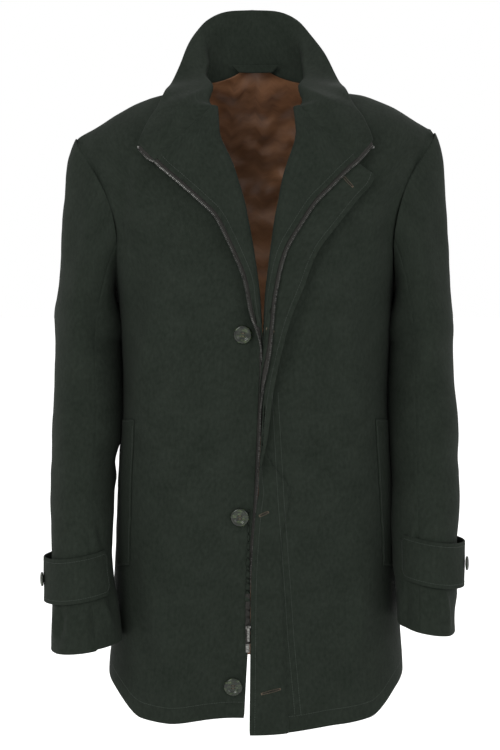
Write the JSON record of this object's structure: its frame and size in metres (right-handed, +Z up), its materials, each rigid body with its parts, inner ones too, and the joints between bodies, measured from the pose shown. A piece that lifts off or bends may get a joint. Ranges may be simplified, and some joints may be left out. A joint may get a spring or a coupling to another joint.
{
  "type": "car coat",
  "caption": "Men's car coat filled out with no wearer, worn open: turned stand collar, fly front over a zip, strapped cuffs, steep welt pockets, hollow and open at neck, hem and cuffs.",
  "frame": {"origin": "centre plane at the level of the neck's shoulder points, where the wearer's shoulders carry the coat", "axes": "+Z up, the coat faces -Y, the wearer's left is +X"},
  "size_m": [0.554, 0.2924, 0.9313],
  "materials": {
    "shell_cloth": "matte dark green twill",
    "satin": "brown satin",
    "button": "glossy mottled green horn look",
    "zip_ribbon": "woven zip tape",
    "zip_metal": "dark metal zip parts"
  },
  "bodies": {
    "coat": {"back": "shell_cloth", "front_right": "shell_cloth", "front_left": "shell_cloth", "facing_right": "shell_cloth", "facing_left": "shell_cloth", "collar": "shell_cloth", "neck_tab": "shell_cloth", "fly_placket": "shell_cloth", "sleeve_top_right": "shell_cloth", "sleeve_under_right": "shell_cloth", "sleeve_top_left": "shell_cloth", "sleeve_under_left": "shell_cloth", "cuff_strap_right": "shell_cloth", "cuff_strap_left": "shell_cloth", "welt_right": "shell_cloth", "welt_left": "shell_cloth", "back_lining": "satin", "front_button_1": "button", "front_button_2": "button", "front_button_3": "button", "front_button_4": "button", "cuff_button_right": "button", "cuff_button_left": "button", "zip_tape_right": "zip_ribbon", "zip_tape_left": "zip_ribbon", "zip_slider": "zip_metal", "zip_box": "zip_metal", "zip_stop_right": "zip_metal", "zip_stop_left": "zip_metal"},
    "pull": {"zip_pull": "zip_metal"}
  },
  "joints": [
    {"name": "pull_hinge", "type": "hinge", "parent": "coat", "child": "pull", "pos_m": [-0.00943, -0.14511, -0.679], "axis": [-1, 0, 0], "range_deg": [0, 150]}
  ]
}
